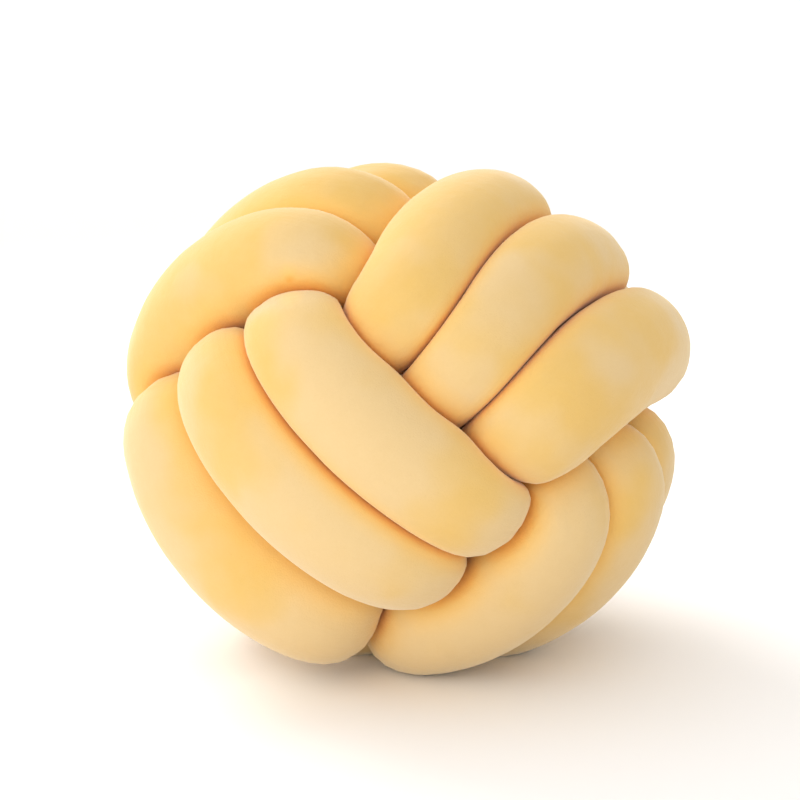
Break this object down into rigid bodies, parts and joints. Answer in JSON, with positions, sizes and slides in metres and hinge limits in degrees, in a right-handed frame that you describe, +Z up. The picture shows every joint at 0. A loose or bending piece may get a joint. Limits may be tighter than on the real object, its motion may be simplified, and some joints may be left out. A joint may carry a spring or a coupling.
{
  "type": "knot cushion",
  "caption": "Ball-shaped knot cushion tied from a long stuffed velvet tube; it rests on any flat surface as a cushion or soft decoration",
  "frame": {"origin": "under the middle of the ball's box, on the surface that the ball rests on", "axes": "+Z up; +X to the right and +Y away as the ball is seen from its front, where the band of three turns that look lower left, the band that looks upper right and the band that looks lower right meet"},
  "size_m": [0.281, 0.2878, 0.2461],
  "materials": {
    "velvet": "short-pile pale yellow velvet"
  },
  "bodies": {
    "root": {"knotted_tube": "velvet"}
  },
  "joints": []
}
